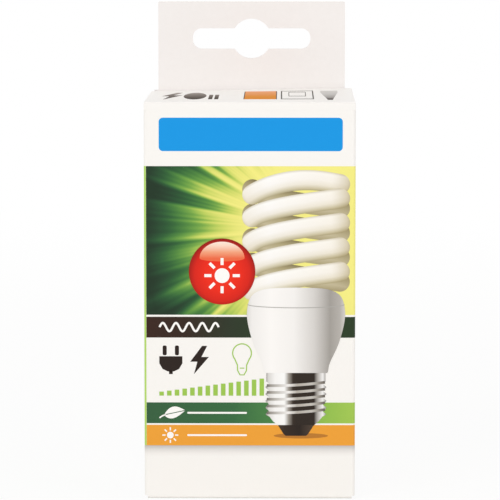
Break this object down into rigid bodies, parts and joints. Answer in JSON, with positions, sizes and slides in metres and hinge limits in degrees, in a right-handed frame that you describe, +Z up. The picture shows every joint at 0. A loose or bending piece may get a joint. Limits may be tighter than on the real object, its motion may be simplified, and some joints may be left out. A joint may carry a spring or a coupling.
{
  "type": "hanging carton with spiral energy saving bulb",
  "caption": "Folding board carton with a hinged tuck lid and a hang tab with a euro slot, holding a spiral compact fluorescent bulb.",
  "frame": {"origin": "middle of the carton's bottom", "axes": "+Z up along the carton's length to the hang tab's top edge; the printed front faces -Y"},
  "size_m": [0.062, 0.062, 0.1445],
  "materials": {
    "carton_board": "coated folding boxboard, printed and varnished outside, uncoated inside",
    "tube_glass": "glass tube with an opaque white phosphor lining",
    "housing_plastic": "white moulded polyester, satin",
    "cap_metal": "rolled thin sheet, nickel plated",
    "insulator": "dark cap glass",
    "contact_metal": "tinned contact plate"
  },
  "bodies": {
    "carton": {"carton": "carton_board", "discharge_tube": "tube_glass", "tube_holder": "housing_plastic", "ballast_housing": "housing_plastic", "screw_shell": "cap_metal", "cap_insulator": "insulator", "centre_contact": "contact_metal"},
    "lid": {"lid_flap": "carton_board"}
  },
  "joints": [
    {"name": "lid_hinge", "type": "hinge", "parent": "carton", "child": "lid", "pos_m": [0, -0.03075, 0.11695], "axis": [1, 0, 0], "range_deg": [0, 180]}
  ]
}
